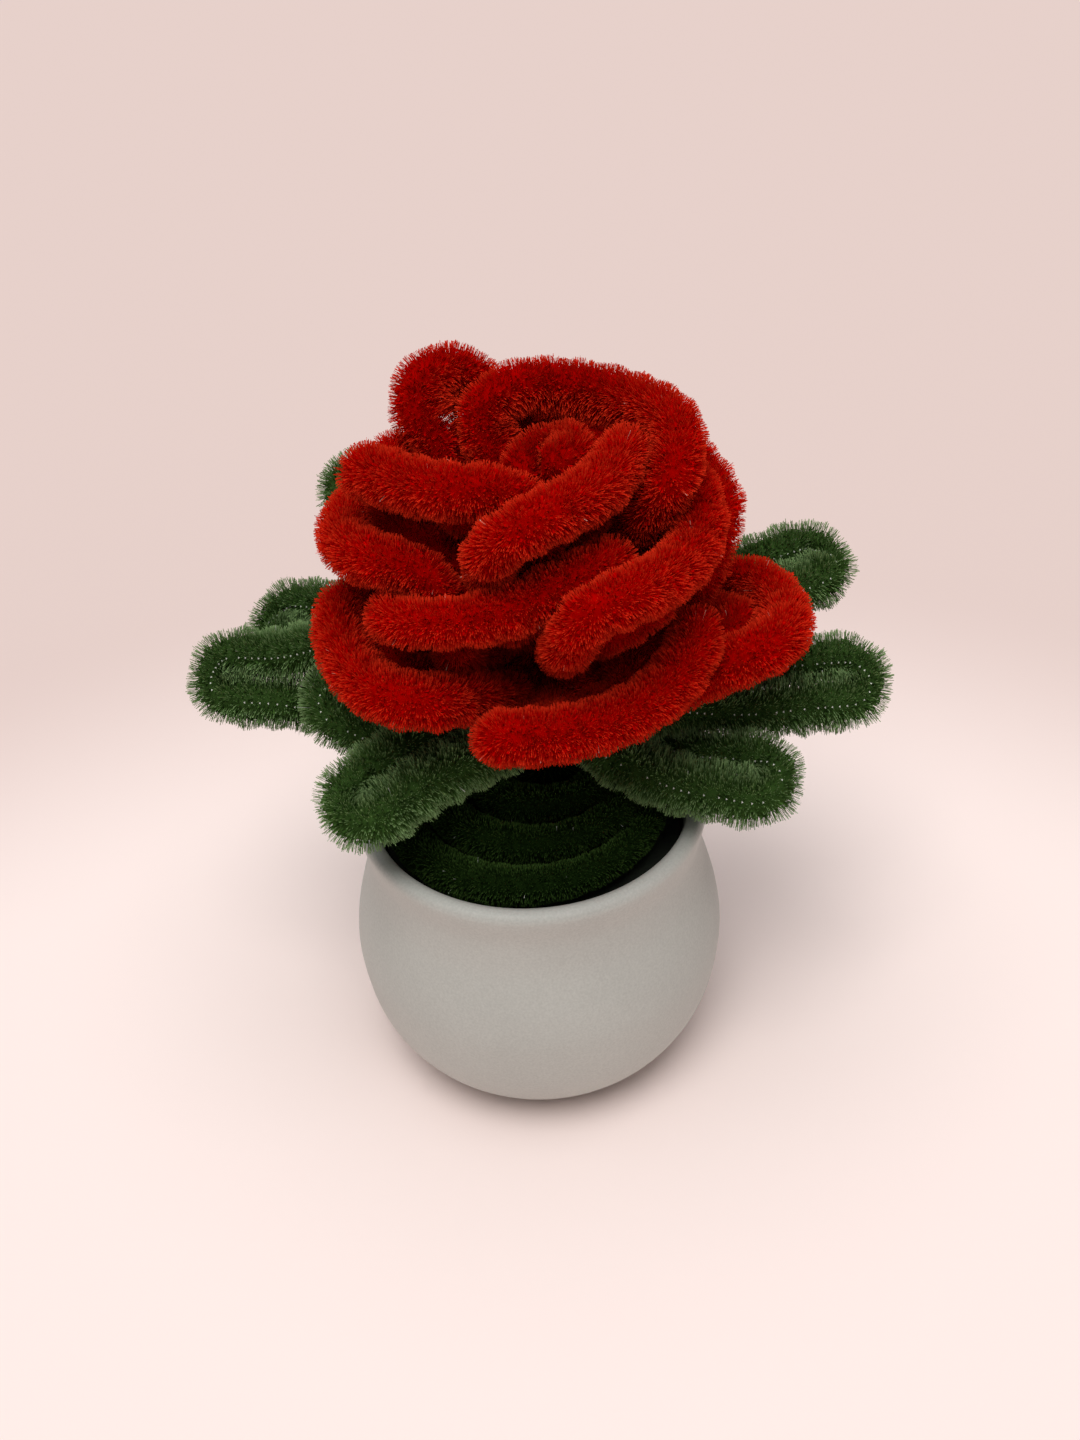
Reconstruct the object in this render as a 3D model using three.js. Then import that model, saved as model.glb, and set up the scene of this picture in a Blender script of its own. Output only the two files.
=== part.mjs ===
import * as THREE from 'three';

// A rose with leaves, bent from fluffy stems and planted in a small round pot.
// Lengths are in millimetres and angles in degrees. The origin is the middle of the pot's foot,
// +Z is up, and a facing of -90 looks towards the front.

// Fluffy stems: a twisted wire core in round pile, with the pile taken as the radius
const clearance = 0.3;
const redStem = { radius: 3.7, boundRadius: 0.6, boundLength: 12 };
const greenStem = { radius: 3.5, boundRadius: 0.6, boundLength: 7 };
const strandSides = 8;
const samplesPerStretch = 3;
const outerSteps = 15;
const innerSteps = 8;

// Pot
const potHeight = 52;
const footRadius = 18.5;
const bellyRadius = 32;
const bellyHeight = 23;
const neckRadius = 28.6;
const neckHeight = 44;
const rimRadius = 29.5;
const wall = 3;
const mouthRadius = rimRadius - wall;
const rimRound = 0.8;
const potFloor = 4;
const potFacets = 32;

// Coil of green stem that fills the pot's mouth and climbs towards the flower
const coilStrandRadius = 3.3;
const coilTurns = 2.9;
const coilRise = 3.5;
const coilSink = 2.8;
const coilStart = 120;
const coilStepsPerTurn = 15;

// Foam plug inside the pot
const plugRadius = neckRadius - wall - 2 * clearance;
const plugBottom = 14;
const plugTop = potHeight - coilSink - coilStrandRadius - clearance;

// Post under the flower, which every petal and leaf is bound to
const postAxis = { x: 4, y: 2 };
const postRadius = 4.2;
const postRise = 19;
const postTop = potHeight + postRise;

// Core of the flower: the petals' ends bound together on top of the post
const coreHeight = 26;
const coreTop = postTop + coreHeight;

// Bud: a short curl of red stem in the middle of the flower
const budStalk = 18;
const budHeight = coreTop + budStalk;
const budAxis = { x: 7, y: 4 };
const budRadius = 4.2;
const budTurns = 0.8;
const budRise = 3;

const RED = 0x8a0a06;
const GREEN = 0x2f4a26;
const DARK_GREEN = 0x16240f;

// Each petal is one stem folded into a loop, with a second loop inside it where it is wide.
// root is the height above the post's top at which it starts, reach the length of its midline, width the
// distance between its outer strands and wrap the radius to which its sides curl in, all as shares of
// petalSize. lean is the midline's angle above level at root and tip, sway its turn within its own plane
// and roll its turn about its midline.
const petalSize = 30;
const petals = [
  { name: 'petal_inner_back', facing: 54, root: 0.6, reach: 1.07, width: 1.27, lean: [50, 70], wrap: 0.6 },
  {
    name: 'petal_inner_left', facing: -126, root: 0.83, reach: 0.8, width: 0.9,
    lean: [68, 55], wrap: 4, sway: -20, roll: 8,
  },
  { name: 'petal_inner_right', facing: -50, root: 0.8, reach: 0.73, width: 0.77, lean: [75, 60], wrap: 1 },
  { name: 'petal_tall_left', facing: 124, root: 0.43, reach: 1.4, width: 0.43, lean: [45, 70], wrap: 1.33 },
  { name: 'petal_middle_left', facing: 172, root: 0.47, reach: 1, width: 0.87, lean: [45, 32], wrap: 0.87 },
  {
    name: 'petal_middle_front', facing: -106, root: 0.53, reach: 0.73, width: 0.93,
    lean: [58, 40], wrap: 1.33, roll: 13,
  },
  {
    name: 'petal_middle_right', facing: -27, root: 0.47, reach: 0.9, width: 1.2,
    lean: [52, 40], wrap: 0.73, roll: 4,
  },
  { name: 'petal_back_right', facing: 34, root: 0.43, reach: 1, width: 0.87, lean: [52, 42], wrap: 1 },
  { name: 'petal_back', facing: 85, root: 0.43, reach: 1.03, width: 0.93, lean: [52, 42], wrap: 1 },
  {
    name: 'petal_back_left', facing: 148, root: 0.4, reach: 0.97, width: 0.87,
    lean: [56, 46], wrap: 1, roll: 15,
  },
  { name: 'petal_low_left', facing: -163, root: 0.2, reach: 1, width: 0.93, lean: [28, 16], wrap: 1.67 },
  {
    name: 'petal_low_front', facing: -63, root: 0.1, reach: 0.8, width: 1.17,
    lean: [30, 25], wrap: 1.33, roll: 6,
  },
  {
    name: 'petal_low_right', facing: 2, root: 0.13, reach: 1.17, width: 0.77,
    lean: [22, 8], wrap: 2, roll: -10,
  },
  { name: 'petal_low_back_right', facing: 62, root: 0.17, reach: 1.03, width: 0.87, lean: [25, 15], wrap: 2 },
  { name: 'petal_low_back_left', facing: 122, root: 0.17, reach: 1, width: 0.87, lean: [25, 15], wrap: 2 },
];

// Each leaf is one green stem folded in half, with its two strands side by side, in shares of leafSize
const leafSize = 50;
const leafWidth = (2 * greenStem.radius + clearance) / leafSize;
const leafWrap = 1.2;
const leaves = [
  { name: 'leaf_front_left', facing: -147, root: 0.02, reach: 0.7, lean: [0, -18], roll: -20 },
  { name: 'leaf_left', facing: 166, root: -0.04, reach: 1.08, lean: [6, -6], roll: -45 },
  { name: 'leaf_low_left', facing: 170, root: -0.08, reach: 0.66, lean: [4, 6], roll: -20 },
  { name: 'leaf_back_left', facing: 150, root: 0.06, reach: 1, lean: [5, -13], roll: -30 },
  { name: 'leaf_back', facing: 129, root: 0.02, reach: 1, lean: [26, 20] },
  { name: 'leaf_back_right', facing: 24, root: 0.06, reach: 0.98, lean: [18, -3], roll: 20 },
  { name: 'leaf_right', facing: 3, root: -0.03, reach: 0.96, lean: [0, -2], roll: 35 },
  { name: 'leaf_front_right', facing: -22, root: -0.1, reach: 0.68, lean: [-7, -7], roll: 25 },
];

const radians = THREE.MathUtils.degToRad;
const smooth = (share) => THREE.MathUtils.smoothstep(share, 0, 1);

// A row of a table with its shares turned into lengths
function measured(row, size) {
  return {
    ...row,
    root: postTop + row.root * size,
    reach: row.reach * size,
    width: row.width * size,
    wrap: row.wrap * size,
  };
}

// A sheet that starts at the post and bends up or down along its midline and inwards at its sides
function sheet({ facing, root, lean, reach, wrap, sway = 0, roll = 0 }) {
  const out = new THREE.Vector3(Math.cos(radians(facing)), Math.sin(radians(facing)), 0);
  const up = new THREE.Vector3(0, 0, 1);
  const side = new THREE.Vector3().crossVectors(up, out);
  const start = new THREE.Vector3(postAxis.x, postAxis.y, root).addScaledVector(out, postRadius);
  const steps = 24;
  return (along, across) => {
    const s = along;
    const u = across + along * Math.tan(radians(sway));
    const point = start.clone();
    for (let i = 0; i < steps; i += 1) {
      const angle = radians(THREE.MathUtils.lerp(lean[0], lean[1], (s * (i + 0.5)) / steps / reach));
      point.addScaledVector(out, (Math.cos(angle) * s) / steps);
      point.addScaledVector(up, (Math.sin(angle) * s) / steps);
    }
    const end = radians(THREE.MathUtils.lerp(lean[0], lean[1], s / reach));
    const midline = out.clone().multiplyScalar(Math.cos(end)).addScaledVector(up, Math.sin(end));
    const inner = new THREE.Vector3().crossVectors(midline, side).applyAxisAngle(midline, radians(roll));
    const lateral = side.clone().applyAxisAngle(midline, radians(roll));
    point.addScaledVector(lateral, wrap * Math.sin(u / wrap));
    return point.addScaledVector(inner, wrap * (1 - Math.cos(u / wrap)));
  };
}

// One loop of a petal in its sheet, from the root round the tip and back
function loopPath(reach, halfWidth, rootSpread, steps, startAlong) {
  const outlineSteps = 40;
  const openTurn = 0.04;
  const bluntness = 0.6;
  const fullness = 0.35;
  const outline = [];
  for (let i = 0; i <= outlineSteps; i += 1) {
    const turn = 2 * Math.PI * THREE.MathUtils.lerp(openTurn, 1 - openTurn, i / outlineSteps);
    const along = startAlong + (reach - startAlong) * ((1 - Math.cos(turn)) / 2) ** bluntness;
    const across = halfWidth * Math.sin(turn - fullness * Math.sin(turn));
    outline.push(new THREE.Vector2(along, across + rootSpread * Math.cos(turn / 2)));
  }
  return new THREE.SplineCurve(outline).getSpacedPoints(steps);
}

function petalPath({ reach, width }, stem) {
  const spacing = 2 * stem.radius + clearance;
  const bound = 2 * stem.boundRadius + clearance;
  const widestHairpin = 2 * spacing;
  const widestSingleLoop = 2.9 * spacing;
  if (width < widestHairpin) {
    return hairpinPath({ reach, width }, stem);
  }
  const outer = loopPath(reach, width / 2, 1.5 * bound, outerSteps, stem.boundRadius);
  if (width < widestSingleLoop) {
    return outer;
  }
  const inner = loopPath(reach - spacing, width / 2 - spacing, bound / 2, innerSteps, 3 * stem.boundRadius);
  return [...outer, ...inner.reverse()];
}

// Two strands side by side that meet in a round turn at the tip
function hairpinPath({ reach, width }, stem) {
  const half = width / 2;
  const armSteps = 6;
  const turnSteps = 6;
  const arm = [];
  for (let i = 0; i < armSteps; i += 1) {
    const along = stem.boundRadius + ((reach - half - stem.boundRadius) * i) / armSteps;
    const share = smooth(along / stem.boundLength);
    const spread = THREE.MathUtils.lerp(stem.boundRadius + clearance / 2, half, share);
    arm.push(new THREE.Vector2(along, spread));
  }
  const turn = [];
  for (let i = 0; i <= turnSteps; i += 1) {
    const angle = (Math.PI * i) / turnSteps;
    turn.push(new THREE.Vector2(reach - half + half * Math.sin(angle), half * Math.cos(angle)));
  }
  const back = arm.map((point) => new THREE.Vector2(point.x, -point.y)).reverse();
  return [...arm, ...turn, ...back];
}

// Nodes and radii of a strand whose path lies in a sheet, thin where it is bound to the post
function sheetStrand(name, path, place, stem, colour) {
  const nodes = path.map((point) => place(point.x, point.y));
  const radii = path.map((point) => (
    THREE.MathUtils.lerp(stem.boundRadius, stem.radius, smooth(point.x / stem.boundLength))
  ));
  return { name, nodes, radii, colour };
}

function coilStrand() {
  const start = mouthRadius - coilStrandRadius - clearance;
  const end = postRadius + coilStrandRadius + clearance;
  const count = Math.round(coilTurns * coilStepsPerTurn);
  const nodes = [];
  for (let i = 0; i <= count; i += 1) {
    const share = i / count;
    const angle = radians(coilStart) + 2 * Math.PI * coilTurns * share;
    const radius = THREE.MathUtils.lerp(start, end, share);
    const height = potHeight - coilSink + coilRise * coilTurns * share;
    nodes.push(new THREE.Vector3(
      postAxis.x * share + radius * Math.cos(angle),
      postAxis.y * share + radius * Math.sin(angle),
      height,
    ));
  }
  const radii = nodes.map(() => coilStrandRadius);
  return { name: 'pot_coil', nodes, radii, colour: DARK_GREEN, fixed: true };
}

// A curl on a stalk that rises from the top of the post
function budStrand() {
  const stalkSteps = 5;
  const curlSteps = 14;
  const stalkTop = budHeight - redStem.radius;
  const nodes = [];
  for (let i = 0; i < stalkSteps; i += 1) {
    const share = i / stalkSteps;
    nodes.push(new THREE.Vector3(
      THREE.MathUtils.lerp(postAxis.x, budAxis.x - budRadius, share),
      THREE.MathUtils.lerp(postAxis.y, budAxis.y, share),
      THREE.MathUtils.lerp(coreTop + clearance, stalkTop, share),
    ));
  }
  for (let i = 0; i <= curlSteps; i += 1) {
    const share = i / curlSteps;
    const angle = Math.PI * (1 + 2 * budTurns * share);
    nodes.push(new THREE.Vector3(
      budAxis.x + budRadius * Math.cos(angle),
      budAxis.y - budRadius * Math.sin(angle),
      stalkTop + budRise * share,
    ));
  }
  const radii = nodes.map((node, i) => (
    THREE.MathUtils.lerp(redStem.boundRadius, redStem.radius, smooth(i / stalkSteps))
  ));
  return { name: 'bud', nodes, radii, colour: RED };
}

// A straight upright strand on the post's axis
function uprightStrand(name, from, to, count, colour) {
  const nodes = [];
  for (let i = 0; i <= count; i += 1) {
    nodes.push(new THREE.Vector3(postAxis.x, postAxis.y, THREE.MathUtils.lerp(from, to, i / count)));
  }
  return { name, nodes, radii: nodes.map(() => postRadius), colour, fixed: true, hard: true };
}

// Pushes strands apart towards lying side by side, each bending as a whole and springing back home
function settle(strands, rounds) {
  const bendLength = 1.9 * redStem.radius;
  const springBack = 0.06;
  const homes = strands.map(({ nodes }) => nodes.map((node) => node.clone()));
  const kernels = strands.map(({ nodes }) => nodes.map((a) => {
    const row = nodes.map((b) => Math.exp(-((a.distanceTo(b) / bendLength) ** 2)));
    const sum = row.reduce((total, value) => total + value, 0);
    return row.map((value) => value / sum);
  }));
  for (let round = 0; round < rounds; round += 1) {
    const pushes = strands.map(({ nodes }) => nodes.map(() => new THREE.Vector3()));
    const push = (strand, i, share, away, amount) => {
      pushes[strand.order][i].addScaledVector(away, amount * (1 - share));
      pushes[strand.order][i + 1].addScaledVector(away, amount * share);
    };
    eachMeeting(strands, ({ a, i, shareA, b, j, shareB, away, lack }) => {
      push(a, i, shareA, away, (b.fixed ? 1 : 0.5) * lack / samplesPerStretch);
      push(b, j, shareB, away, -(a.fixed ? 1 : 0.5) * lack / samplesPerStretch);
    });
    strands.filter((strand) => !strand.fixed).forEach(({ order, nodes }) => {
      const moves = kernels[order].map((row) => row.reduce(
        (total, weight, j) => total.addScaledVector(pushes[order][j], weight),
        new THREE.Vector3(),
      ));
      nodes.forEach((node, i) => node.add(moves[i]).lerp(homes[order][i], springBack));
    });
  }
}

// Calls visit for each sampled point of a strand that is too near a stretch of another strand, or of its own
function eachMeeting(strands, visit) {
  const ownReach = 4.3 * redStem.radius;
  const farthest = 6.5 * redStem.radius;
  const runs = strands.map(({ nodes }) => {
    let run = 0;
    return nodes.map((node, i) => {
      run += i > 0 ? node.distanceTo(nodes[i - 1]) : 0;
      return run;
    });
  });
  strands.forEach((a) => strands.forEach((b) => {
    for (let i = 0; i + 1 < a.nodes.length; i += 1) {
      for (let j = 0; j + 1 < b.nodes.length; j += 1) {
        const ownStretch = a === b && Math.abs(runs[a.order][i] - runs[a.order][j]) < ownReach;
        if (!ownStretch && a.nodes[i].distanceTo(b.nodes[j]) < farthest) {
          for (let k = 0; k < samplesPerStretch; k += 1) {
            const shareA = k / samplesPerStretch;
            const point = a.nodes[i].clone().lerp(a.nodes[i + 1], shareA);
            const shareB = shareOfStretch(point, b.nodes[j], b.nodes[j + 1]);
            const away = point.sub(b.nodes[j].clone().lerp(b.nodes[j + 1], shareB));
            const distance = away.length();
            const radiusA = THREE.MathUtils.lerp(a.radii[i], a.radii[i + 1], shareA);
            const radiusB = THREE.MathUtils.lerp(b.radii[j], b.radii[j + 1], shareB);
            const lack = radiusA + radiusB + clearance - distance;
            if (lack > 0) {
              away.divideScalar(Math.max(distance, 1e-3));
              visit({ a, i, shareA, radiusA, b, j, shareB, radiusB, away, lack });
            }
          }
        }
      }
    }
  }));
}

function shareOfStretch(point, from, to) {
  const line = to.clone().sub(from);
  return THREE.MathUtils.clamp(point.clone().sub(from).dot(line) / line.lengthSq(), 0, 1);
}

// Flattens the pile where strands still meet, so that a clearance is left between them
function press(strands) {
  const least = 0.6 * redStem.boundRadius;
  const pressed = strands.map(({ radii }) => [...radii]);
  const keep = (strand, i, cut) => {
    if (!strand.hard) {
      [i, i + 1].forEach((node) => {
        const radius = Math.max(strand.radii[node] - cut, least);
        pressed[strand.order][node] = Math.min(pressed[strand.order][node], radius);
      });
    }
  };
  eachMeeting(strands, ({ a, i, radiusA, b, j, radiusB, lack }) => {
    const partOfA = b.hard ? 1 : radiusA / (radiusA + radiusB);
    const partOfB = a.hard ? 1 : 1 - partOfA;
    keep(a, i, partOfA * lack);
    keep(b, j, partOfB * lack);
  });
  strands.forEach((strand) => {
    strand.radii = pressed[strand.order];
  });
}

// A closed tube through the nodes, with a ring of the given radius at each
function strandGeometry({ nodes, radii }) {
  const positions = [];
  const index = [];
  const tangents = nodes.map((node, i) => (
    nodes[Math.min(i + 1, nodes.length - 1)].clone().sub(nodes[Math.max(i - 1, 0)]).normalize()
  ));
  const firstAxis = Math.abs(tangents[0].z) < 0.8 ? new THREE.Vector3(0, 0, 1) : new THREE.Vector3(1, 0, 0);
  const normal = firstAxis;
  nodes.forEach((node, i) => {
    normal.addScaledVector(tangents[i], -normal.dot(tangents[i])).normalize();
    const across = new THREE.Vector3().crossVectors(tangents[i], normal);
    for (let k = 0; k < strandSides; k += 1) {
      const angle = (2 * Math.PI * k) / strandSides;
      const point = node.clone()
        .addScaledVector(normal, radii[i] * Math.cos(angle))
        .addScaledVector(across, radii[i] * Math.sin(angle));
      positions.push(point.x, point.y, point.z);
    }
  });
  const last = nodes.length - 1;
  positions.push(...nodes[0].toArray(), ...nodes[last].toArray());
  const startCap = nodes.length * strandSides;
  for (let k = 0; k < strandSides; k += 1) {
    const next = (k + 1) % strandSides;
    for (let i = 0; i < last; i += 1) {
      const low = i * strandSides;
      const high = low + strandSides;
      index.push(low + k, low + next, high + next, low + k, high + next, high + k);
    }
    index.push(startCap, next, k);
    index.push(startCap + 1, last * strandSides + k, last * strandSides + next);
  }
  const geometry = new THREE.BufferGeometry();
  geometry.setAttribute('position', new THREE.Float32BufferAttribute(positions, 3));
  geometry.setIndex(index);
  geometry.computeVertexNormals();
  return geometry;
}

// One side of the bowl from foot to rim, drawn in from the outside by inset
function bowlSide(inset, base) {
  const belly = bellyRadius - inset;
  const neck = neckRadius - inset;
  const rim = rimRadius - inset;
  const footBend = 0.3 * footRadius;
  const bellyBend = 0.43 * bellyHeight;
  const neckBend = 0.16 * neckHeight;
  const lipBend = 0.5 * (potHeight - neckHeight);
  const side = new THREE.Path();
  side.moveTo(footRadius, base);
  side.bezierCurveTo(footRadius + footBend, base, belly, bellyHeight - 1.35 * bellyBend, belly, bellyHeight);
  side.bezierCurveTo(belly, bellyHeight + bellyBend, neck, neckHeight - neckBend, neck, neckHeight);
  side.bezierCurveTo(neck, neckHeight + lipBend, rim, potHeight - lipBend, rim, potHeight - rimRound);
  return side.getPoints(4);
}

function potGeometry() {
  const profile = [
    new THREE.Vector2(0, 0),
    ...bowlSide(0, 0),
    new THREE.Vector2(rimRadius - rimRound, potHeight),
    new THREE.Vector2(mouthRadius + rimRound, potHeight),
    ...bowlSide(wall, potFloor).reverse(),
    new THREE.Vector2(0, potFloor),
  ];
  return new THREE.LatheGeometry(profile, potFacets).rotateX(Math.PI / 2);
}

// Foam disc pressed into the pot's neck under the coil, with a hole for the stem
function plugGeometry() {
  const disc = new THREE.Shape().absarc(0, 0, plugRadius, 0, 2 * Math.PI);
  disc.holes.push(new THREE.Path().absarc(postAxis.x, postAxis.y, postRadius + clearance, 0, 2 * Math.PI));
  const options = { depth: plugTop - plugBottom, bevelEnabled: false, curveSegments: 24 };
  return new THREE.ExtrudeGeometry(disc, options).translate(0, 0, plugBottom);
}

function addMesh(group, name, geometry, colour, roughness) {
  const material = new THREE.MeshStandardMaterial({ color: colour, roughness, metalness: 0 });
  const mesh = new THREE.Mesh(geometry, material);
  mesh.name = name;
  group.add(mesh);
}

const flower = new THREE.Group();
const strands = [
  uprightStrand('stem', plugBottom, postTop, 6, DARK_GREEN),
  uprightStrand('petal_core', postTop + clearance, coreTop, 3, RED),
  coilStrand(),
  budStrand(),
];
petals.forEach((row) => {
  const petal = measured(row, petalSize);
  strands.push(sheetStrand(petal.name, petalPath(petal, redStem), sheet(petal), redStem, RED));
});
leaves.forEach((row) => {
  const leaf = measured({ ...row, width: leafWidth, wrap: leafWrap }, leafSize);
  strands.push(sheetStrand(leaf.name, hairpinPath(leaf, greenStem), sheet(leaf), greenStem, GREEN));
});
strands.forEach((strand, order) => {
  strand.order = order;
});
settle(strands, 40);
press(strands);
strands.forEach((strand) => addMesh(flower, strand.name, strandGeometry(strand), strand.colour, 0.95));
addMesh(flower, 'pot', potGeometry(), 0xb4b0a8, 0.7);
addMesh(flower, 'foam_plug', plugGeometry(), 0x5a6a4a, 1);

export default flower;
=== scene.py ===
"""Dresses a potted rose bent from fluffy stems.

Each solid strand of the frame gives a line and a thickness. A dense core and thousands of
blunt-tipped fibres are grown round that line, and the pot, the foam and the studio are added.
Lengths are in metres.
"""

import math

import bpy
import numpy as np
from mathutils import Matrix, Vector


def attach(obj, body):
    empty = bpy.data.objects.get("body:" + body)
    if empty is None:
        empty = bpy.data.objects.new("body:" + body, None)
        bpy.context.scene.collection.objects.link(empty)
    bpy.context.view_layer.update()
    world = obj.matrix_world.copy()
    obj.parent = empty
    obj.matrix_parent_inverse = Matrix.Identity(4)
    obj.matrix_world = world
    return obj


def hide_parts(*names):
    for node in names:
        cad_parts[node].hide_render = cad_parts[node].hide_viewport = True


bl_info = {
    "name": "Potted rose of fluffy stems",
    "version": (1, 0, 0),
    "blender": (4, 5, 0),
    "location": "3D View > Sidebar > Rose",
    "description": "Grows pile on a potted rose bent from fluffy stems",
    "category": "Object",
}

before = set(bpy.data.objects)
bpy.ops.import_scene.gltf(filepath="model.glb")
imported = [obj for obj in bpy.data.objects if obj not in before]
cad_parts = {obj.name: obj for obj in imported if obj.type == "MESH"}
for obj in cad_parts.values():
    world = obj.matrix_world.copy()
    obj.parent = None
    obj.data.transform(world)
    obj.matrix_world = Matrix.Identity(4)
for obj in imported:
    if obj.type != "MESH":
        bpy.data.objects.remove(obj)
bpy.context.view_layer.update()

PETALS = tuple(sorted(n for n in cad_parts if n.startswith("petal_")))
LEAVES = tuple(sorted(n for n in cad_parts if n.startswith("leaf_")))

# Corners in each ring of the solids
STRAND_SIDES = 8
POT_SIDES = 32

# Lines through the rings. Corners are merged on a grid of MERGE_GRID cells to the metre, each span
# between two rings has SPAN_CUTS cuts, and a line that rises more than STEEP gets its first normal
# from X
MERGE_GRID = 1e6
LEAST_RINGS = 3
SPAN_CUTS = 16
LEAST_STEPS = 4
LEAST_TUBE = 1e-4
STEEP = 0.8
TINY = 1e-6

# Surfaces round the lines: the distance between stations, and the corners at each
STRAND_STEP = 0.0012
CORE_SIDES = 10
POT_STEP = 0.001
TURNED_SIDES = 96

# Fibres. Both roots and the undercoat's ridge and spread are shares of the radius, and the guard
# fibres' reach, ridge and spread are shares of the fringe. Lean is sideways over outwards
MM_PER_M = 1000
UNDERCOAT_ROOT = 0.6
UNDERCOAT_RIDGE = 0.04
UNDERCOAT_SPREAD = 0.06
UNDERCOAT_LEAN = 0.5
GUARD_ROOT = 0.7
GUARD_REACH = 0.85
GUARD_RIDGE = 0.22
GUARD_SPREAD = 0.13
GUARD_LEAN = 0.1
LEAST_FIBRE = 0.0002
INWARD = 0.0012

# Parting of the leaves' fibres: where it faces, and the share of its depth that the undercoat gets.
# Specks of bare wire lie in it at SPECK_DEPTH of the radius, at SPECK_SHARE of all steps but the
# first and last few, coloured as a painted glint, and a small share of the guard fibres take the
# same colour as scattered painted glints
PARTING_WAY = np.array([0.0, -0.88, 0.47])
PARTING_WIDTH = 0.012
UNDERCOAT_PARTING = 0.5
SPECK_DEPTH = 0.93
SPECK_SHARE = 0.78
SPECK_FREE_ENDS = 5
STRAY_GLINTS = 0.0012

# Shade from fibre to fibre, from 0 to 1, where the top end is the pale colour of bare wire and of stray
# fibres, a painted glint
SHADE_MIDDLE = 0.5
SHADE_RIDGE = 0.05
SHADE_SPREAD = 0.08
SHADE_RANGE = (0.02, 0.97)
CORE_SHADE = 0.45
CORE_SPREAD = 0.06
CORE_RANGE = (0.02, 0.9)
GLINT_FROM = 0.985
GLINT = 0.995
# Painted light on the upper side of each strand and painted shade on its lower side, as light from above
# would fall
TOP_LIGHT = 0.1

# Depth in the pile, from 0 at its bottom to 1 at a guard fibre's tip. The colour runs along it from
# painted shade at the bottom of the pile to painted light at the tips. A fibre has three corners
CORE_DEPTH = 0.3
UNDERCOAT_DEPTHS = (0.25, 0.55, 0.55)
GUARD_DEPTHS = (0.4, 1.0, 1.0)
BODY_DEPTHS = (0.5, 0.7)

# First seeds, and what sets the piles of single stems apart
PETAL_SEED = 100
LEAF_SEED = 200
COIL_SEED = 300
STEM_SEED = 301
PETAL_EXTRA = -0.00025
LEAF_EXTRA = 0.0003
HIDDEN_SHARE = 0.75
PETAL_LOOKS = {
    "petal_core": {"tone": -0.2, "extra": 0.0016},
    "petal_tall_left": {"inward": 0.0036},
    "bud": {"tone": -0.12},
}
# The front left leaf's higher tone is painted light, as it stands at the front in the light; it has no row
# of wire specks
LEAF_LOOKS = {"leaf_front_left": {"tone": 0.12, "parting": 0.0}}
# The coil gets strong painted light on the tops of its turns and painted shade under them
COIL_LOOKS = {"top_light": 0.5, "extra": -0.0008, "inward": 0.0}
STEM_LOOKS = {"share": 0.5}

# Floor, lamps and camera. The floor's colour fades between two distances from a point in front, a painted
# pool of light that is lightest near that point
FLOOR_HALF = 6
LIGHT_POOL_MIDDLE = (0.0, -0.11, 0.0)
LIGHT_POOL_START = 0.165
LIGHT_POOL_END = 0.26
ORIGIN = (0, 0, 0)
SUN_PLACE = (-0.1, -0.36, 0.92)
CANOPY_PLACE = (0, 0, 1)
CANOPY_ANGLE = math.radians(60)
CAMERA_TARGET = (0.00224, 0.0, 0.06807)
CAMERA_DISTANCE = 0.29527
CAMERA_ELEVATION = math.radians(38.42)
CAMERA_ROLL = math.radians(-3.47)
SENSOR = 36.0
FOCAL_PIXELS = 1810
IMAGE_HEIGHT = 1440


# Colours


def srgb(red, green, blue):
    """Linear colour of an sRGB value from 0 to 255: c/12.92 below 0.04, else ((c + 0.055)/1.055)^2.4."""
    c = np.array([red, green, blue]) / 255.0
    return tuple(np.where(c <= 0.04045, c / 12.92, ((c + 0.055) / 1.055) ** 2.4))


def grey(value):
    """The linear colour that has the same value in all three channels."""
    return (value, value, value)


# Settings


def colour(name, description, red, green, blue):
    """A colour property whose default is given in sRGB from 0 to 255."""
    return bpy.props.FloatVectorProperty(
        name=name, description=description, default=srgb(red, green, blue), subtype="COLOR", size=3
    )


def length(name, description, default):
    """A length property in metres."""
    return bpy.props.FloatProperty(name=name, description=description, default=default, unit="LENGTH")


def number(name, description, default):
    """A property that is a plain number."""
    return bpy.props.FloatProperty(name=name, description=description, default=default)


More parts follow.
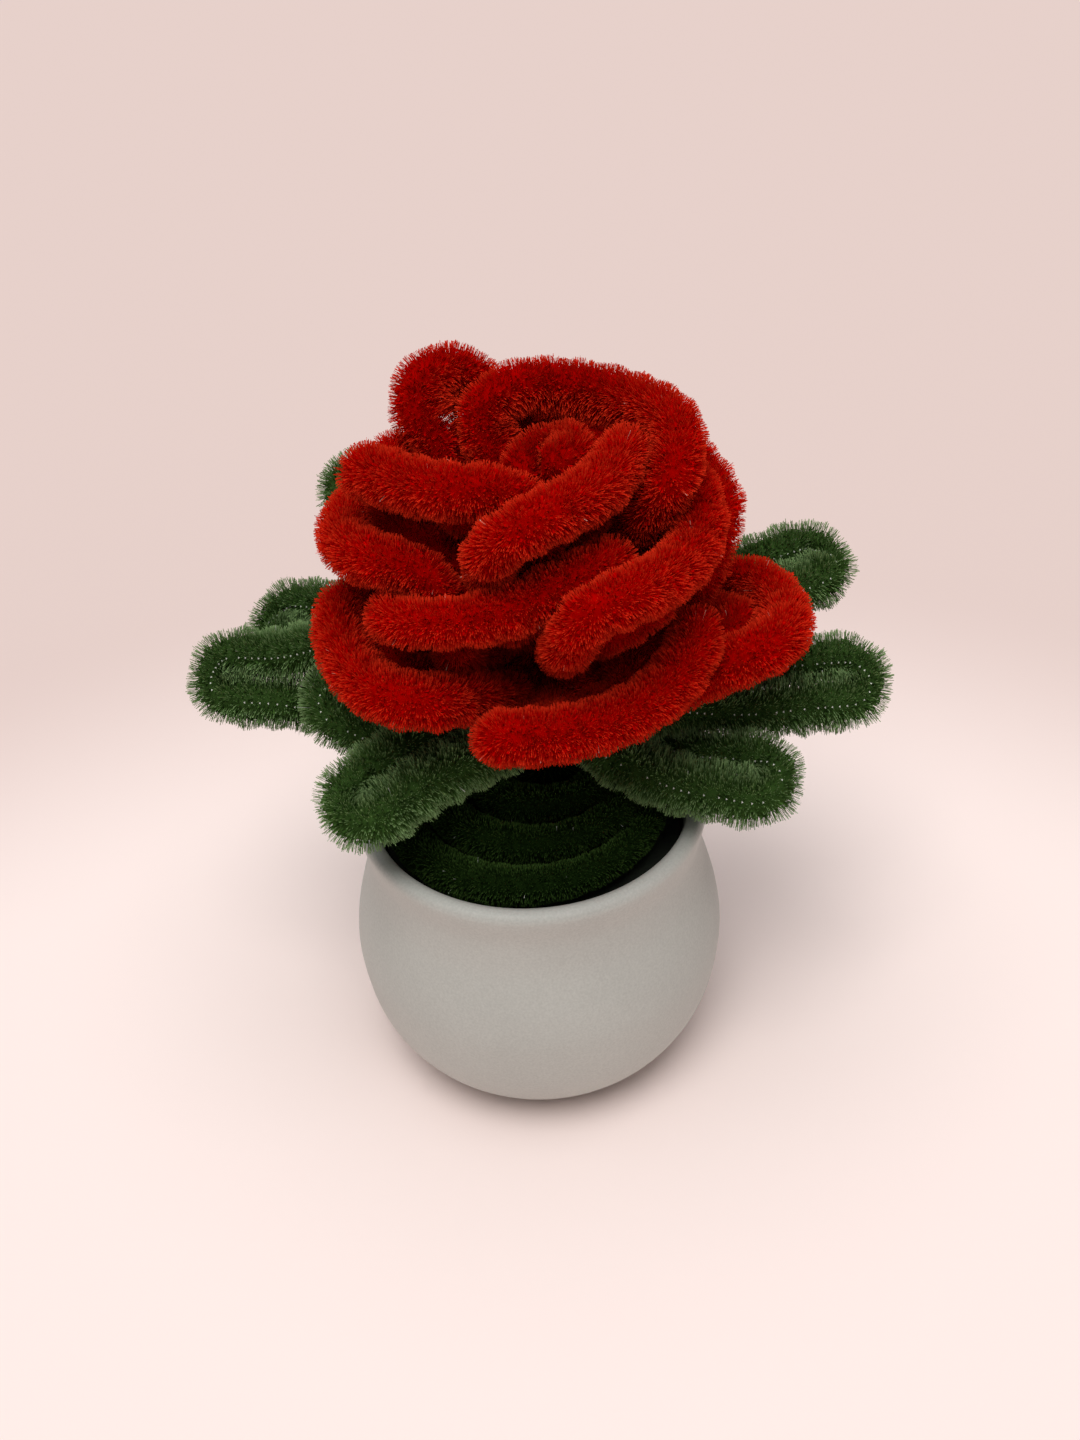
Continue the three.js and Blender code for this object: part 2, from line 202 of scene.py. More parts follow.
class PileSettings(bpy.types.PropertyGroup):
    """Sizes and colours of the fluffy stems."""

    undercoat: number("Undercoat", "Short fibres on each millimetre of a stem at full thickness", 110.0)
    guard: number("Guard fibres", "Long fibres on each millimetre of a stem at full thickness", 205.0)
    full_radius: length("Full radius", "Radius of a stem at which it has all its fibres", 0.0037)
    least_radius: length("Least radius", "Least reach of the pile where a stem is bound or pressed", 0.0026)
    fringe: length("Fringe", "Reach of the guard fibres past the solid's surface", 0.0012)
    undercoat_width: length("Undercoat width", "Width of a short fibre's tip", 0.0004)
    guard_width: length("Guard width", "Width of a long fibre's tip", 0.000125)
    core_share: bpy.props.FloatProperty(
        name="Core share", description="Radius of the dense core as a share of the solid's", default=0.8,
        subtype="FACTOR",
    )
    wire_spacing: length("Wire spacing", "Distance between the specks of bare wire", 0.0012)
    wire_size: length("Wire size", "Reach of a speck of bare wire from its middle", 0.00019)
    parting: length("Parting", "Depth of the line along which the leaves' fibres part", 0.0019)
    twist: length("Twist", "Length of stem in which the wire turns once", 0.0052)
    # Each pile's colours: painted shade at the bottom of the pile, the stem's own colour in its body, and
    # painted light at the fibres' tips
    red_deep_shade: colour("Deep red", "Colour at the bottom of the red pile", 110, 0, 0)
    red_body: colour("Body red", "Colour of the red pile's mass", 196, 2, 1)
    red_tip_light: colour("Tip red", "Colour of the red fibres' tips", 216, 52, 26)
    green_deep_shade: colour("Deep green", "Colour at the bottom of the leaves' pile", 14, 26, 8)
    green_body: colour("Body green", "Colour of the leaves' mass", 66, 96, 44)
    green_tip_light: colour("Tip green", "Colour of the leaves' tips", 128, 156, 104)
    dark_deep_shade: colour("Deep dark green", "Colour at the bottom of the coil's pile", 2, 5, 1)
    dark_body: colour("Body dark green", "Colour of the coil's mass", 32, 52, 19)
    dark_tip_light: colour("Tip dark green", "Colour of the coil's tips", 62, 86, 40)


class PotSettings(bpy.types.PropertyGroup):
    """Finish of the pot and of the foam in it."""

    clay: colour("Clay", "Colour of the matte clay", 192, 193, 187)
    # The pits' darker colour is painted shade in the foam's open cells
    foam_pit_shade: colour("Foam pits", "Colour in the foam's open cells", 5, 9, 3)
    foam_skin: colour("Foam skin", "Colour of the foam between its cells", 22, 32, 15)


class StageSettings(bpy.types.PropertyGroup):
    """Floor and light."""

    # The near colour is a painted pool of light on the floor in front
    floor_near_lit: colour("Floor, near", "Colour of the floor in front", 255, 238, 234)
    floor_far: colour("Floor, far", "Colour of the floor behind", 229, 208, 203)
    sky: number("Sky", "Strength of the even light from all round", 0.22)
    canopy: number("Canopy", "Strength of the wide light above", 1.35)
    sun: number("Sun", "Strength of the light from above in front", 1.25)
    sun_angle: bpy.props.FloatProperty(
        name="Sun angle", description="Width of the light from above in front, which softens its shadows",
        default=math.radians(34), subtype="ANGLE",
    )


# Lines


def ring_line(node, sides):
    """Centre and radius of each ring of a solid made of rings, from end to end.

    Corners that share a place are merged, and the merged corners are walked outwards from one
    end's middle, edge by edge: all corners at the same number of steps form one ring.
    """
    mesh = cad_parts[node].data
    corners = np.empty(len(mesh.vertices) * 3)
    mesh.vertices.foreach_get("co", corners)
    loops = np.empty(len(mesh.loops), int)
    mesh.loops.foreach_get("vertex_index", loops)
    keys = np.round(corners.reshape(-1, 3) * MERGE_GRID).astype(int)
    _, first, merged = np.unique(keys, axis=0, return_index=True, return_inverse=True)
    points = corners.reshape(-1, 3)[first]
    triangles = merged.reshape(-1)[loops].reshape(-1, 3)
    edges = np.unique(np.sort(triangles[:, [0, 1, 1, 2, 2, 0]].reshape(-1, 2), axis=1), axis=0)
    links = np.bincount(edges.reshape(-1), minlength=len(points))
    caps = np.flatnonzero(links == sides)
    seen = np.zeros(len(points), bool)
    front = np.zeros(len(points), bool)
    seen[caps[0]] = front[caps[0]] = True
    centres, radii = [], []
    while True:
        reached = np.concatenate([edges[front[edges[:, 0]], 1], edges[front[edges[:, 1]], 0]])
        ring = np.unique(reached[~seen[reached]])
        if len(ring) != sides:
            break
        seen[ring] = True
        front[:] = False
        front[ring] = True
        centre = points[ring].mean(axis=0)
        centres.append(centre)
        radii.append(np.linalg.norm(points[ring] - centre, axis=1).mean())
    if len(centres) < LEAST_RINGS:
        raise ValueError(f"{node} has no rings")
    return np.array(centres), np.array(radii)


def smooth_line(points, radii, step):
    """A cubic line through the ring centres, at even steps along its length.

    Between rings p1 and p2 the line is the Catmull-Rom blend of p0, p1, p2 and p3, and the radius
    is blended in the same way. Gives the stations, their radii and their distances along the line.
    """
    data = np.column_stack([points, radii])
    padded = np.vstack([2 * data[0] - data[1], data, 2 * data[-1] - data[-2]])
    t = np.linspace(0, 1, SPAN_CUTS, endpoint=False)[None, :, None]
    p0, p1, p2, p3 = (padded[i : len(padded) - 3 + i, None, :] for i in range(4))
    square = 2 * p0 - 5 * p1 + 4 * p2 - p3
    cube = 3 * p1 - p0 - 3 * p2 + p3
    fine = 0.5 * (2 * p1 + (p2 - p0) * t + square * t**2 + cube * t**3)
    fine = np.vstack([fine.reshape(-1, 4), data[-1]])
    run = np.concatenate([[0], np.cumsum(np.linalg.norm(np.diff(fine[:, :3], axis=0), axis=1))])
    count = max(int(run[-1] / step), LEAST_STEPS)
    at = np.linspace(0, run[-1], count + 1)
    even = np.column_stack([np.interp(at, run, fine[:, k]) for k in range(4)])
    return even[:, :3], np.maximum(even[:, 3], LEAST_TUBE), at


def read_along(at, run, values):
    """Vectors given at the distances run, read off in between at the distances at."""
    return np.column_stack([np.interp(at, run, values[:, k]) for k in range(3)])


def turning_frame(line):
    """Tangent, normal and binormal at each station, with the normal carried along without twist."""
    tangent = np.gradient(line, axis=0)
    tangent /= np.linalg.norm(tangent, axis=1, keepdims=True)
    normal = np.empty_like(tangent)
    start = np.array([0.0, 0.0, 1.0]) if abs(tangent[0, 2]) < STEEP else np.array([1.0, 0.0, 0.0])
    for i, t in enumerate(tangent):
        start = start - t * (start @ t)
        start /= np.linalg.norm(start)
        normal[i] = start
    return tangent, normal, np.cross(tangent, normal)


def square_to(tangent, way):
    """The unit vectors along way - (way . t) t, one for each tangent t."""
    part = way - (tangent @ way)[:, None] * tangent
    return part / np.maximum(np.linalg.norm(part, axis=1, keepdims=True), TINY)


# Surfaces


def tube_triangles(rows, sides):
    """Triangles of a closed tube: rows times sides points, row by row, then a point for each end.

    Each cell between two rows gives two triangles, and each end a fan round its own point.
    """
    row, side = np.meshgrid(np.arange(rows - 1), np.arange(sides), indexing="ij")
    a = (row * sides + side).reshape(-1)
    b = (row * sides + (side + 1) % sides).reshape(-1)
    here = np.arange(sides)
    after = (here + 1) % sides
    last = (rows - 1) * sides
    first_end = np.full(sides, rows * sides)
    return np.concatenate([
        np.column_stack([a, b, b + sides]),
        np.column_stack([a, b + sides, a + sides]),
        np.column_stack([first_end, after, here]),
        np.column_stack([first_end + 1, last + here, last + after]),
    ])


def core_tube(line, radii, axes, sides):
    """A closed tube: at each station a ring of points centre + r (cos a normal + sin a binormal)."""
    _, normal, binormal = axes
    angle = np.linspace(0, 2 * np.pi, sides, endpoint=False)
    cos, sin = np.cos(angle)[None, :, None], np.sin(angle)[None, :, None]
    ring = cos * normal[:, None] + sin * binormal[:, None]
    points = (line[:, None] + radii[:, None, None] * ring).reshape(-1, 3)
    return np.vstack([points, line[0], line[-1]]), tube_triangles(len(line), sides)


def lathe(outline, sides):
    """A surface of revolution about Z: each outline point (r, z) becomes (r cos a, r sin a, z).

    A flat fan from the axis closes each end.
    """
    r, z = outline[:, :1], outline[:, 1]
    angle = np.linspace(0, 2 * np.pi, sides, endpoint=False)
    rings = np.stack([r * np.cos(angle), r * np.sin(angle), np.repeat(z[:, None], sides, axis=1)], axis=-1)
    poles = [[0, 0, z[0]], [0, 0, z[-1]]]
    return np.vstack([rings.reshape(-1, 3), poles]), tube_triangles(len(z), sides)


def mesh_piece(name, points, faces, material):
    """A new object at the origin from whole arrays of points and triangles."""
    mesh = bpy.data.meshes.new(name)
    mesh.vertices.add(len(points))
    mesh.vertices.foreach_set("co", np.ascontiguousarray(points, dtype=np.float32).reshape(-1))
    mesh.loops.add(faces.size)
    mesh.loops.foreach_set("vertex_index", np.ascontiguousarray(faces, dtype=np.int32).reshape(-1))
    mesh.polygons.add(len(faces))
    mesh.polygons.foreach_set("loop_start", np.arange(0, faces.size, faces.shape[1], dtype=np.int32))
    mesh.update(calc_edges=True)
    mesh.materials.append(material)
    piece = bpy.data.objects.new(name, mesh)
    bpy.context.scene.collection.objects.link(piece)
    return piece


# Pile


def wire_dots(strand, rng, spacing, size, depth):
    """Specks of bare wire, coloured as a painted glint: a small triangle at most even steps along the
    parting, facing out of it.
    """
    line, radii, run, (tangent, _, _), _ = strand
    free = SPECK_FREE_ENDS * spacing
    at = np.arange(free, run[-1] - free, spacing)
    at = at[rng.random(len(at)) < SPECK_SHARE]
    t = read_along(at, run, tangent)
    out = square_to(t, PARTING_WAY)
    middle = read_along(at, run, line) + (depth * np.interp(at, run, radii))[:, None] * out
    around = np.cross(out, t)
    back = middle - 0.5 * size * t
    return np.stack([middle + size * t, back + size * around, back - size * around], axis=1).reshape(-1, 3)


def fibres(strand, count, rng, root_share, end, lean, width, parting):
    """Fibres that stand out from the line, each a triangle from a point at its root to a blunt tip.

    A fibre runs from centre + root_share r d to centre + end d, where r is the station's radius and
    d a unit vector square to the line, and it leans at random along and round the line. end is a
    function of r, of the ridge cos(2 a - 2 pi s / twist), which follows the turns of the two wires,
    and of how far d points at the opposite arm of the loop. The fibres that point along the
    strand's parting q are shorter, by parting exp(-(1 - d . q) / PARTING_WIDTH).
    """
    line, radii, run, (tangent, normal, binormal), twist = strand
    weight = np.concatenate([[0], np.cumsum(np.diff(run) * np.minimum(radii[1:], radii[:-1]))])
    at = np.interp(rng.random(count), weight / weight[-1], run)
    centre, t, n, b = (read_along(at, run, values) for values in (line, tangent, normal, binormal))
    radius = np.interp(at, run, radii)
    angle = rng.random(count) * 2 * np.pi
    out = np.cos(angle)[:, None] * n + np.sin(angle)[:, None] * b
    around = np.cross(t, out)
    ridge = np.cos(2 * angle - 2 * np.pi * at / twist)
    across = read_along(run[-1] - at, run, line) - centre
    across /= np.maximum(np.linalg.norm(across, axis=1, keepdims=True), TINY)
    inner = np.clip((across * out).sum(1), 0, 1) ** 2
    direction = out + lean * (rng.normal(size=(count, 1)) * t + rng.normal(size=(count, 1)) * around)
    direction /= np.linalg.norm(direction, axis=1, keepdims=True)
    start = root_share * radius
    root = centre + start[:, None] * out
    facing = (out * square_to(t, PARTING_WAY)).sum(1)
    short = parting * np.exp(-(1 - facing) / PARTING_WIDTH)
    reach = np.maximum(end(radius, ridge, inner) - start - short, LEAST_FIBRE)
    tip = root + reach[:, None] * direction
    spin = rng.random((count, 1)) * np.pi
    flat = np.cos(spin) * t + np.sin(spin) * around
    flat -= direction * (flat * direction).sum(1, keepdims=True)
    flat *= 0.5 * width / np.linalg.norm(flat, axis=1, keepdims=True)
    return np.stack([root, tip + flat, tip - flat], axis=1).reshape(-1, 3), ridge, out[:, 2]


def pile_piece(
    node, slot, material, settings, seed,
    share=1.0, tone=0.0, top_light=TOP_LIGHT, extra=0.0, inward=INWARD, parting=0.0,
):
    """One strand's piece: its core, undercoat and guard fibres in one mesh, with a map of shade and depth.

    The map's first number is a shade that differs from fibre to fibre, and its second is the depth in
    the pile: 0 at the bottom and 1 at a guard fibre's tip. share thins the pile out and tone makes it
    lighter. lift paints light on its upper side and shade on its lower side, as light from above falls.
    extra makes its guard fibres longer, and inward those that point at the loop's other arm. parting
    is the depth of the line along which the fibres part and the bare wire shows as a row of specks,
    coloured as a painted glint.
    """
    rng = np.random.default_rng(seed)
    line, radii, run = smooth_line(*ring_line(node, STRAND_SIDES), STRAND_STEP)
    axes = turning_frame(line)
    fluff = np.maximum(radii, settings.least_radius)
    strand = (line, fluff, run, axes, settings.twist)
    density = share * MM_PER_M * float(np.sum(np.diff(run) * fluff[1:])) / settings.full_radius

    def undercoat_end(radius, ridge, inner):
        spread = rng.normal(0, UNDERCOAT_SPREAD, len(radius))
        return (1.0 + UNDERCOAT_RIDGE * ridge + spread) * radius

    def guard_end(radius, ridge, inner):
        spread = rng.normal(0, GUARD_SPREAD, len(radius))
        fringe = (settings.fringe + extra) * (GUARD_REACH + GUARD_RIDGE * ridge + spread)
        return radius + fringe + inward * inner

    core_points, core_faces = core_tube(line, settings.core_share * radii, axes, CORE_SIDES)
    under_points, under_ridge, under_rise = fibres(
        strand, int(settings.undercoat * density), rng, UNDERCOAT_ROOT, undercoat_end,
        lean=UNDERCOAT_LEAN, width=settings.undercoat_width, parting=UNDERCOAT_PARTING * parting,
    )
    guard_points, guard_ridge, guard_rise = fibres(
        strand, int(settings.guard * density), rng, GUARD_ROOT, guard_end,
        lean=GUARD_LEAN, width=settings.guard_width, parting=parting,
    )
    under, guard = len(under_ridge), len(guard_ridge)
    dots = np.empty((0, 3))
    if parting:
        dots = wire_dots(strand, rng, settings.wire_spacing, settings.wire_size, SPECK_DEPTH)
    points = np.vstack([core_points, under_points, guard_points, dots])
    hair_faces = np.arange(len(points) - len(core_points)).reshape(-1, 3)
    faces = np.concatenate([core_faces, hair_faces + len(core_points)])

    ridge = np.concatenate([under_ridge, guard_ridge])
    rise = np.concatenate([under_rise, guard_rise])
    spread = SHADE_SPREAD * rng.normal(size=len(ridge))
    # The rise term paints light on fibres that point up and shade on fibres that point down
    shade = np.clip(SHADE_MIDDLE + tone + top_light * rise + SHADE_RIDGE * ridge + spread, *SHADE_RANGE)
    # A small share of guard fibres take the glint colour: scattered painted glints
    shade[under:][rng.random(guard) < STRAY_GLINTS] = GLINT
    core_shade = CORE_SHADE + tone + CORE_SPREAD * rng.normal(size=len(core_points))
    core_shade = np.clip(core_shade, *CORE_RANGE)
    u = np.concatenate([core_shade[core_faces].reshape(-1), np.repeat(shade, 3), np.full(len(dots), GLINT)])
    v = np.concatenate([
        np.full(core_faces.size, CORE_DEPTH), np.tile(UNDERCOAT_DEPTHS, under),
        np.tile(GUARD_DEPTHS, guard), np.ones(len(dots)),
    ])

    piece = mesh_piece("pile_" + node, points, faces, material)
    uv = piece.data.uv_layers.new(name="OFBake")
    uv.data.foreach_set("uv", np.column_stack([u, v]).astype(np.float32).reshape(-1))
    smooth = np.zeros(len(faces), bool)
    smooth[: len(core_faces)] = True
    piece.data.polygons.foreach_set("use_smooth", smooth)
    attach(piece, "root")
    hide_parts(node)


# Materials


def new_material(name):
    """A new material with its nodes, its links and its shader."""
    material = bpy.data.materials.new(name)
    material.use_nodes = True
    nodes = material.node_tree.nodes
    return material, nodes, material.node_tree.links, nodes["Principled BSDF"]


def ramp_node(nodes, stops):
    """A colour ramp through the given places and colours."""
    ramp = nodes.new("ShaderNodeValToRGB")
    elements = ramp.color_ramp.elements
    while len(elements) < len(stops):
        elements.new(0.5)
    for element, (place, value) in zip(elements, stops):
        element.position = place
        element.color = (*value, 1)
    return ramp


def multiplied(nodes, links, first, second):
    """The socket that gives two ramps' colours multiplied."""
    times = nodes.new("ShaderNodeMix")
    times.data_type = "RGBA"
    times.blend_type = "MULTIPLY"
    times.inputs["Factor"].default_value = 1.0
    links.new(first.outputs["Color"], times.inputs["A"])
    links.new(second.outputs["Color"], times.inputs["B"])
    return times.outputs["Result"]


def noise_node(nodes, links, where, scale, detail):
    """Noise on the piece's own coordinates."""
    noise = nodes.new("ShaderNodeTexNoise")
    noise.inputs["Scale"].default_value = scale
    noise.inputs["Detail"].default_value = detail
    links.new(where.outputs["Object"], noise.inputs["Vector"])
    return noise


def add_bump(nodes, links, height, shader, strength, distance):
    """Makes the shader's surface uneven after a height."""
    bump = nodes.new("ShaderNodeBump")
    bump.inputs["Strength"].default_value = strength
    bump.inputs["Distance"].default_value = distance
    links.new(height, bump.inputs["Height"])
    links.new(bump.outputs["Normal"], shader.inputs["Normal"])


def pile_material(name, deep, body, tip, glint, sheen):
    """Pile with painted shade at its bottom, painted light at its tips and a painted glint on bare wire,
    lighter or darker from fibre to fibre.
    """
    material, nodes, links, shader = new_material(name)
    uv = nodes.new("ShaderNodeUVMap")
    uv.uv_map = "OFBake"
    split = nodes.new("ShaderNodeSeparateXYZ")
    links.new(uv.outputs["UV"], split.inputs["Vector"])
    body_from, body_to = BODY_DEPTHS
    # Painted shade at the bottom of the pile, the pile's own colour in its body, painted light at the tips
    depth = ramp_node(nodes, [(0.0, deep), (body_from, body), (body_to, body), (1.0, tip)])
    links.new(split.outputs["Y"], depth.inputs["Fac"])
    shade = ramp_node(nodes, [(0.0, grey(0.45)), (1.0, grey(1.55))])
    links.new(split.outputs["X"], shade.inputs["Fac"])
    # Shades past GLINT_FROM take the glint colour: bare wire and stray fibres with a painted glint
    fleck = nodes.new("ShaderNodeMath")
    fleck.operation = "GREATER_THAN"
    fleck.inputs[1].default_value = GLINT_FROM
    links.new(split.outputs["X"], fleck.inputs[0])
    mix = nodes.new("ShaderNodeMix")
    mix.data_type = "RGBA"
    links.new(fleck.outputs["Value"], mix.inputs["Factor"])
    links.new(multiplied(nodes, links, depth, shade), mix.inputs["A"])
    mix.inputs["B"].default_value = (*glint, 1)
    links.new(mix.outputs["Result"], shader.inputs["Base Color"])
    shader.inputs["Roughness"].default_value = 0.85
    shader.inputs["Specular IOR Level"].default_value = 0.0
    shader.inputs["Sheen Weight"].default_value = 0.05
    shader.inputs["Sheen Roughness"].default_value = 0.4
    shader.inputs["Sheen Tint"].default_value = (*sheen, 1)
    return material


def clay_material(clay):
    """Matte glaze with a very fine grain and faint cloudiness."""
    material, nodes, links, shader = new_material("matte_clay")
    where = nodes.new("ShaderNodeTexCoord")
    clay = np.array(clay)
    cloud = noise_node(nodes, links, where, scale=45.0, detail=4.0)
    cloudy = ramp_node(nodes, [(0.3, 0.95 * clay), (0.7, 1.03 * clay)])
    links.new(cloud.outputs["Fac"], cloudy.inputs["Fac"])
    grain = noise_node(nodes, links, where, scale=2600.0, detail=2.0)
    speckle = ramp_node(nodes, [(0.3, grey(0.92)), (0.7, grey(1.05))])
    links.new(grain.outputs["Fac"], speckle.inputs["Fac"])
    links.new(multiplied(nodes, links, cloudy, speckle), shader.inputs["Base Color"])
    add_bump(nodes, links, grain.outputs["Fac"], shader, strength=0.25, distance=0.0002)
    shader.inputs["Roughness"].default_value = 0.55
    shader.inputs["Specular IOR Level"].default_value = 0.35
    return material


def foam_material(pit, skin):
    """Open-celled foam in a dark green, with painted shade in its small pits."""
    material, nodes, links, shader = new_material("florist_foam")
    where = nodes.new("ShaderNodeTexCoord")
    cells = nodes.new("ShaderNodeTexVoronoi")
    cells.inputs["Scale"].default_value = 900.0
    links.new(where.outputs["Object"], cells.inputs["Vector"])
    # Painted shade in the pits, fading to the foam's own dark green between them
    ramp = ramp_node(nodes, [(0.0, pit), (1.0, skin)])
    links.new(cells.outputs["Distance"], ramp.inputs["Fac"])
    links.new(ramp.outputs["Color"], shader.inputs["Base Color"])
    add_bump(nodes, links, cells.outputs["Distance"], shader, strength=0.6, distance=0.0004)
    shader.inputs["Roughness"].default_value = 0.95
    return material


def floor_material(near, far):
    """Matte floor with a painted pool of light: its colour fades from near to far with the distance from a
    point in front.
    """
    material, nodes, links, shader = new_material("floor_paper")
    where = nodes.new("ShaderNodeTexCoord")
    distance = nodes.new("ShaderNodeVectorMath")
    distance.operation = "DISTANCE"
    distance.inputs[1].default_value = LIGHT_POOL_MIDDLE
    links.new(where.outputs["Object"], distance.inputs[0])
    span = nodes.new("ShaderNodeMapRange")
    span.inputs["From Min"].default_value = LIGHT_POOL_START
    span.inputs["From Max"].default_value = LIGHT_POOL_END
    links.new(distance.outputs["Value"], span.inputs["Value"])
    ramp = ramp_node(nodes, [(0.0, near), (1.0, far)])
    ramp.color_ramp.interpolation = "EASE"
    links.new(span.outputs["Result"], ramp.inputs["Fac"])
    links.new(ramp.outputs["Color"], shader.inputs["Base Color"])
    shader.inputs["Roughness"].default_value = 0.9
    shader.inputs["Specular IOR Level"].default_value = 0.0
    return material


# Pieces


class ROSE_OT_petals(bpy.types.Operator):
    """Grow red pile on the petals, the bud and the core that binds them"""

    bl_idname = "rose.petals"
    bl_label = "Petals and bud"

    def execute(self, context):
        pile = context.scene.rose_pile
        red = pile_material(
            "red_chenille", pile.red_deep_shade, pile.red_body, pile.red_tip_light,
            glint=srgb(240, 170, 150), sheen=srgb(255, 70, 20),
        )
        for seed, node in enumerate(PETALS + ("bud",), start=PETAL_SEED):
            looks = {"extra": PETAL_EXTRA}
            if node.startswith(("petal_back", "petal_low_back")):
                looks["share"] = HIDDEN_SHARE
            looks.update(PETAL_LOOKS.get(node, {}))
            pile_piece(node, "red_pile", red, pile, seed, **looks)
        return {"FINISHED"}


class ROSE_OT_leaves(bpy.types.Operator):
    """Grow green pile on the leaves"""

    bl_idname = "rose.leaves"
    bl_label = "Leaves"

    def execute(self, context):
        pile = context.scene.rose_pile
        green = pile_material(
            "green_chenille", pile.green_deep_shade, pile.green_body, pile.green_tip_light,
            glint=srgb(214, 216, 206), sheen=srgb(170, 200, 120),
        )
        for seed, node in enumerate(LEAVES, start=LEAF_SEED):
            looks = {"extra": LEAF_EXTRA, "parting": pile.parting}
            looks.update(LEAF_LOOKS.get(node, {}))
            pile_piece(node, "green_pile", green, pile, seed, **looks)
        return {"FINISHED"}


class ROSE_OT_coil(bpy.types.Operator):
    """Grow dark green pile on the coil in the pot's mouth and on the stem"""

    bl_idname = "rose.coil"
    bl_label = "Coil and stem"

    def execute(self, context):
        pile = context.scene.rose_pile
        dark = pile_material(
            "dark_green_chenille", pile.dark_deep_shade, pile.dark_body, pile.dark_tip_light,
            glint=srgb(190, 195, 185), sheen=srgb(110, 150, 80),
        )
        pile_piece("pot_coil", "dark_green_pile", dark, pile, COIL_SEED, **COIL_LOOKS)
        pile_piece("stem", "dark_green_pile", dark, pile, STEM_SEED, **STEM_LOOKS)
        return {"FINISHED"}


class ROSE_OT_pot(bpy.types.Operator):
    """Turn the smooth round pot and give the foam in it open cells"""

    bl_idname = "rose.pot"
    bl_label = "Pot and foam"

    def execute(self, context):
        settings = context.scene.rose_pot
        rings, radii = ring_line("pot", POT_SIDES)
        if rings[0, 2] > rings[-1, 2]:
            rings, radii = rings[::-1], radii[::-1]
        corners = np.column_stack([radii, np.zeros(len(radii)), rings[:, 2]])
        outline, _, _ = smooth_line(corners, radii, POT_STEP)
        points, faces = lathe(outline[:, [0, 2]], TURNED_SIDES)
        pot = mesh_piece("round_pot", points, faces, clay_material(settings.clay))
        pot.data.polygons.foreach_set("use_smooth", np.ones(len(faces), bool))
        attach(pot, "root")
        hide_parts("pot")
        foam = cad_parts["foam_plug"]
        foam.data.materials.clear()
        foam.data.materials.append(foam_material(settings.foam_pit_shade, settings.foam_skin))
        return {"FINISHED"}


# Stage


def add_floor(stage):
    """A wide flat floor at the foot's height."""
    h = FLOOR_HALF
    corners = np.array([[-h, -h, 0], [h, -h, 0], [h, h, 0], [-h, h, 0]], float)
    material = floor_material(stage.floor_near_lit, stage.floor_far)
    floor = mesh_piece("floor", corners, np.array([[0, 1, 2], [0, 2, 3]]), material)


def add_world(scene, stage):
    """Even light from all round, behind which the camera sees the floor's far colour."""
    world = bpy.data.worlds.new("studio")
    scene.world = world
    world.use_nodes = True
    nodes, links = world.node_tree.nodes, world.node_tree.links
    backdrop = nodes["Background"]
    backdrop.inputs["Color"].default_value = (1.0, 0.99, 0.98, 1)
    backdrop.inputs["Strength"].default_value = stage.sky
    seen = nodes.new("ShaderNodeBackground")
    seen.inputs["Color"].default_value = (*stage.floor_far, 1)
    path = nodes.new("ShaderNodeLightPath")
    mix = nodes.new("ShaderNodeMixShader")
    links.new(path.outputs["Is Camera Ray"], mix.inputs["Fac"])
    links.new(backdrop.outputs["Background"], mix.inputs[1])
    links.new(seen.outputs["Background"], mix.inputs[2])
    links.new(mix.outputs["Shader"], nodes["World Output"].inputs["Surface"])


def add_lamp(name, strength, angle, place):
    """A distant lamp at a place, turned towards the origin. Gives its light."""
    light = bpy.data.lights.new(name, "SUN")
    light.energy = strength
    light.angle = angle
    lamp = bpy.data.objects.new(name, light)
    lamp.location = place
    lamp.rotation_mode = "QUATERNION"
    lamp.rotation_quaternion = (Vector(ORIGIN) - Vector(place)).to_track_quat("-Z", "Y")
    bpy.context.scene.collection.objects.link(lamp)
    return light


def add_camera(scene):
    """A camera that looks at its target from the front and above, turned a little about its axis."""
    elevation, roll = CAMERA_ELEVATION, CAMERA_ROLL
    back = Vector((0, -math.cos(elevation), math.sin(elevation)))
    right = Vector((1, 0, 0))
    up = back.cross(right)
    turned_right = math.cos(roll) * right + math.sin(roll) * up
    turned_up = -math.sin(roll) * right + math.cos(roll) * up
    lens = bpy.data.cameras.new("camera")
    lens.sensor_width = SENSOR
    lens.lens = FOCAL_PIXELS / IMAGE_HEIGHT * SENSOR
    lens.clip_start = 0.01
    camera = bpy.data.objects.new("camera", lens)
    scene.collection.objects.link(camera)
    turn = Matrix((turned_right, turned_up, back)).transposed().to_4x4()
    camera.matrix_world = Matrix.Translation(Vector(CAMERA_TARGET) + CAMERA_DISTANCE * back) @ turn
    scene.camera = camera


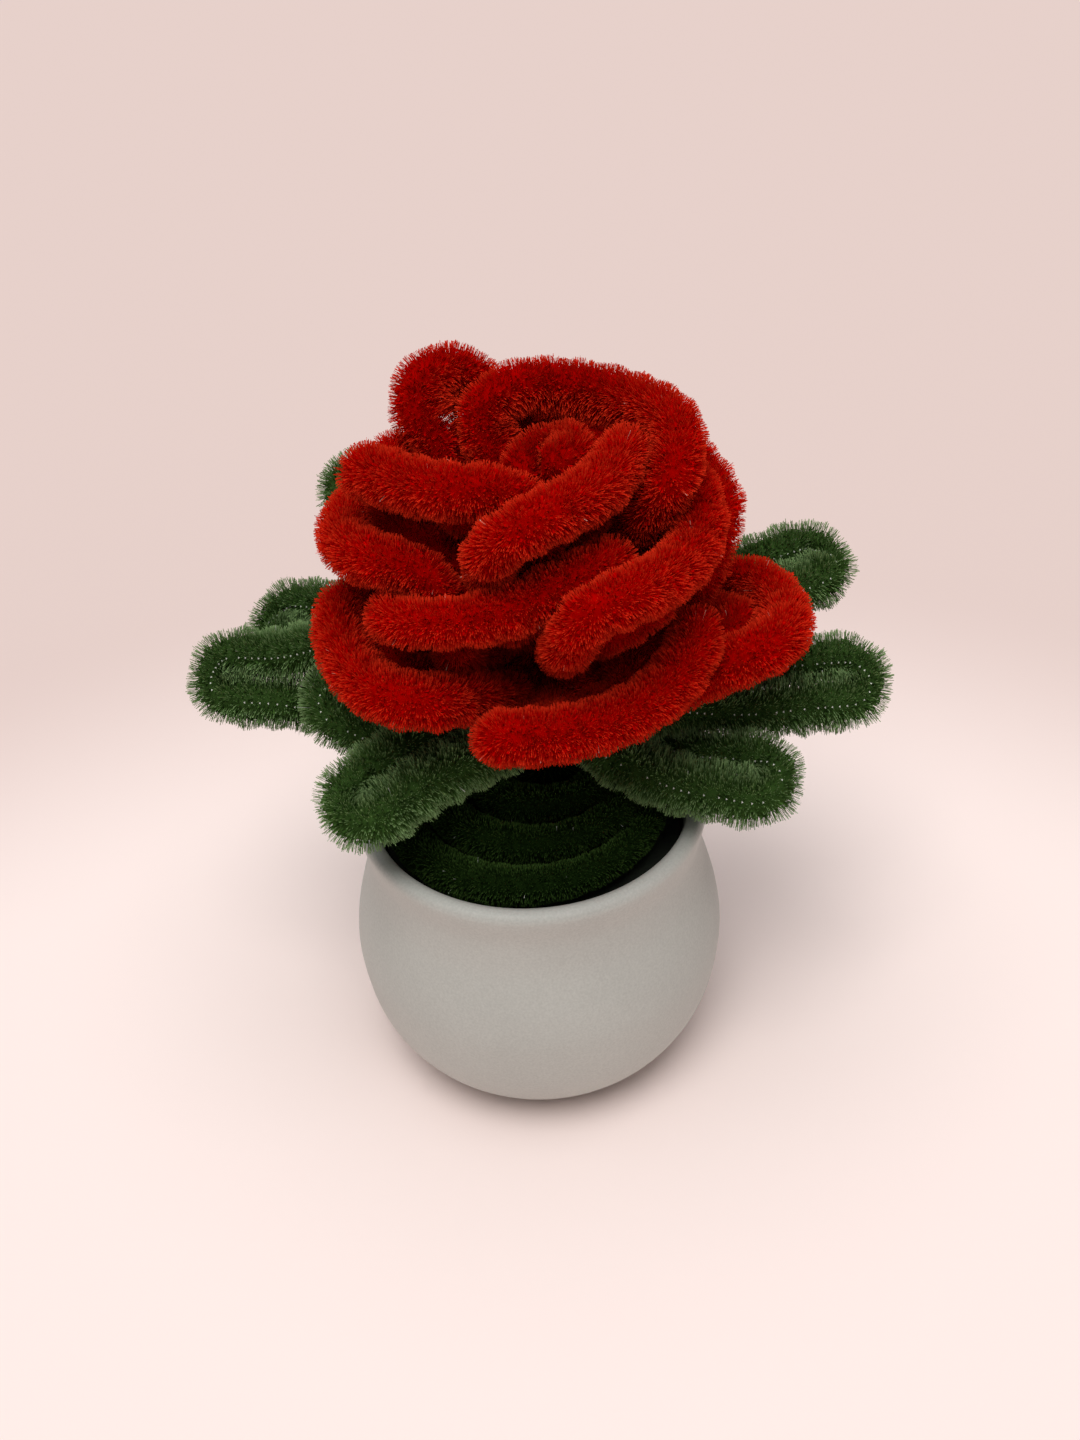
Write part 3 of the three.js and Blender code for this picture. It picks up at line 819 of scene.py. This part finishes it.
class ROSE_OT_stage(bpy.types.Operator):
    """Add the pale floor, the soft light and the camera"""

    bl_idname = "rose.stage"
    bl_label = "Stage"

    def execute(self, context):
        stage = context.scene.rose_stage
        context.scene.view_settings.view_transform = "Standard"
        add_floor(stage)
        add_world(context.scene, stage)
        add_lamp("sun", stage.sun, stage.sun_angle, SUN_PLACE).color = (1.0, 0.98, 0.95)
        add_lamp("canopy", stage.canopy, CANOPY_ANGLE, CANOPY_PLACE)
        add_camera(context.scene)
        return {"FINISHED"}


# Panel and registration


class ROSE_PT_panel(bpy.types.Panel):
    """Buttons for the rose's pieces"""

    bl_idname = "ROSE_PT_panel"
    bl_label = "Rose"
    bl_space_type = "VIEW_3D"
    bl_region_type = "UI"
    bl_category = "Rose"

    def draw(self, context):
        for group in (context.scene.rose_pile, context.scene.rose_pot, context.scene.rose_stage):
            for name in group.bl_rna.properties.keys():
                if name not in {"rna_type", "name"}:
                    self.layout.prop(group, name)
        for operator in OPERATORS:
            self.layout.operator(operator.bl_idname)


SETTINGS = (PileSettings, PotSettings, StageSettings)
OPERATORS = (ROSE_OT_petals, ROSE_OT_leaves, ROSE_OT_coil, ROSE_OT_pot, ROSE_OT_stage)


def register():
    """Registers the settings, the operators and the panel."""
    for each in SETTINGS + OPERATORS + (ROSE_PT_panel,):
        bpy.utils.register_class(each)
    bpy.types.Scene.rose_pile = bpy.props.PointerProperty(type=PileSettings)
    bpy.types.Scene.rose_pot = bpy.props.PointerProperty(type=PotSettings)
    bpy.types.Scene.rose_stage = bpy.props.PointerProperty(type=StageSettings)


def unregister():
    """Takes back what register did."""
    for name in ("rose_stage", "rose_pot", "rose_pile"):
        delattr(bpy.types.Scene, name)
    for each in reversed(SETTINGS + OPERATORS + (ROSE_PT_panel,)):
        bpy.utils.unregister_class(each)


def main():
    """Makes every piece and the stage."""
    register()
    bpy.ops.rose.petals()
    bpy.ops.rose.leaves()
    bpy.ops.rose.coil()
    bpy.ops.rose.pot()
    bpy.ops.rose.stage()


if __name__ == "__main__":
    main()
